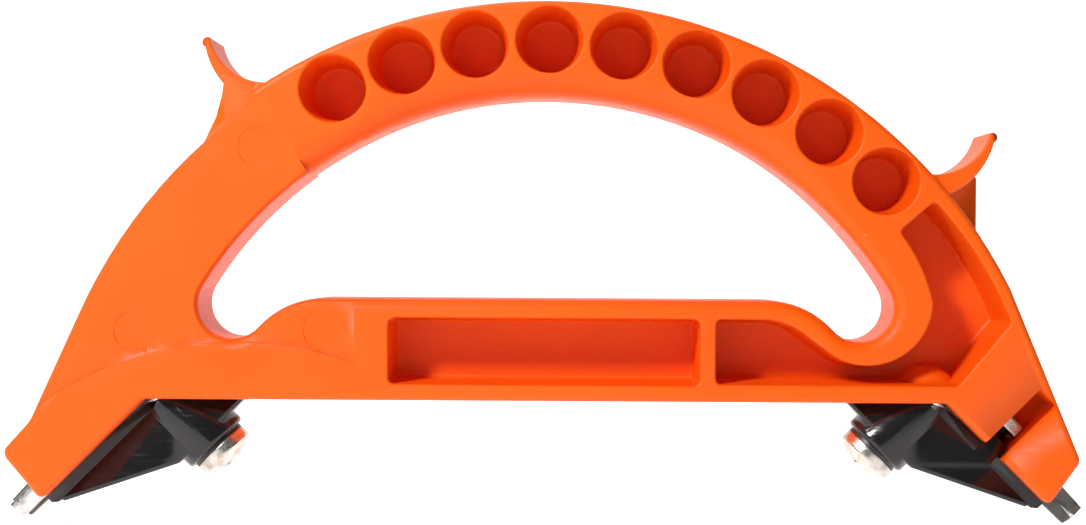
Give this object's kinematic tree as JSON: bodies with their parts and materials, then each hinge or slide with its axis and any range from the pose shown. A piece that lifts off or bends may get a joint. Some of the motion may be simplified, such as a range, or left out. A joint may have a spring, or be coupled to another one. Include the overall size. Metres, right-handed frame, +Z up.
{
  "type": "brick jointer",
  "caption": "Hand tool that rakes and smooths mortar joints: a moulded arch handle whose ends hold short scraping blades in a screw-driven rocking jaw",
  "frame": {"origin": "centre of the bounding box in X and Y, at the height of the blades' tips (the lowest points)", "axes": "+X along the tool to the right end seen from the front, +Y through the thickness away from the pocketed front, +Z up"},
  "size_m": [0.2524, 0.024, 0.1217],
  "materials": {
    "orange_plastic": "satin moulded orange",
    "black_plastic": "glossy moulded black",
    "black_strip": "matte black",
    "zinc": "zinc plated",
    "brass": "turned brass",
    "dark_steel": "dark hardened steel",
    "bright_steel": "ground bright steel",
    "seat_steel": "plain steel"
  },
  "bodies": {
    "handle": {"handle_body": "orange_plastic", "right_screw_seat": "seat_steel", "left_screw_seat": "seat_steel"},
    "right_jaw": {"right_clamp_jaw": "black_plastic", "right_pressure_strip": "black_strip", "right_thread_insert": "brass", "right_tie_bolt": "dark_steel", "right_tie_nut": "zinc"},
    "right_washer": {"right_screw_washer": "black_strip"},
    "right_screw": {"right_clamp_screw": "zinc"},
    "right_fork": {"right_rake_fork": "dark_steel"},
    "right_bar": {"right_jointing_bar": "bright_steel"},
    "left_jaw": {"left_clamp_jaw": "black_plastic", "left_pressure_strip": "black_strip", "left_thread_insert": "brass", "left_tie_bolt": "dark_steel", "left_tie_nut": "zinc"},
    "left_washer": {"left_screw_washer": "black_strip"},
    "left_screw": {"left_clamp_screw": "zinc"},
    "left_fork": {"left_rake_fork": "dark_steel"},
    "left_bar": {"left_jointing_bar": "bright_steel"}
  },
  "joints": [
    {"name": "right_jaw_rock", "type": "hinge", "parent": "handle", "child": "right_jaw", "pos_m": [0.10939, 0, 0.02383], "axis": [0, 1, 0], "range_deg": [0, 2.75]},
    {"name": "right_screw_feed", "type": "slide", "parent": "right_jaw", "child": "right_washer", "axis": [-0.7071, 0, -0.7071], "range_m": [0, 0.00125]},
    {"name": "right_screw_turn", "type": "hinge", "parent": "right_washer", "child": "right_screw", "pos_m": [0.07425, 0, 0.01485], "axis": [-0.7071, 0, -0.7071], "range_deg": [0, 306]},
    {"name": "right_fork_slide", "type": "slide", "parent": "handle", "child": "right_fork", "axis": [0.7071, 0, -0.7071], "range_m": [-0.0018, 0.007]},
    {"name": "right_bar_slide", "type": "slide", "parent": "handle", "child": "right_bar", "axis": [0.7071, 0, -0.7071], "range_m": [-0.0018, 0.007]},
    {"name": "left_jaw_rock", "type": "hinge", "parent": "handle", "child": "left_jaw", "pos_m": [-0.10939, 0, 0.02383], "axis": [0, -1, 0], "range_deg": [0, 2.75]},
    {"name": "left_screw_feed", "type": "slide", "parent": "left_jaw", "child": "left_washer", "axis": [0.7071, 0, -0.7071], "range_m": [0, 0.00125]},
    {"name": "left_screw_turn", "type": "hinge", "parent": "left_washer", "child": "left_screw", "pos_m": [-0.07425, 0, 0.01485], "axis": [0.7071, 0, -0.7071], "range_deg": [0, 306]},
    {"name": "left_fork_slide", "type": "slide", "parent": "handle", "child": "left_fork", "axis": [-0.7071, 0, -0.7071], "range_m": [-0.0018, 0.007]},
    {"name": "left_bar_slide", "type": "slide", "parent": "handle", "child": "left_bar", "axis": [-0.7071, 0, -0.7071], "range_m": [-0.0018, 0.007]}
  ],
  "couplings": [
    {"joint": "right_jaw_rock", "follows": "right_screw_turn", "ratio": 0.00817},
    {"joint": "right_screw_feed", "follows": "right_screw_turn", "m_per_rad": 0.00015915},
    {"joint": "left_jaw_rock", "follows": "left_screw_turn", "ratio": 0.00817},
    {"joint": "left_screw_feed", "follows": "left_screw_turn", "m_per_rad": 0.00015915}
  ]
}
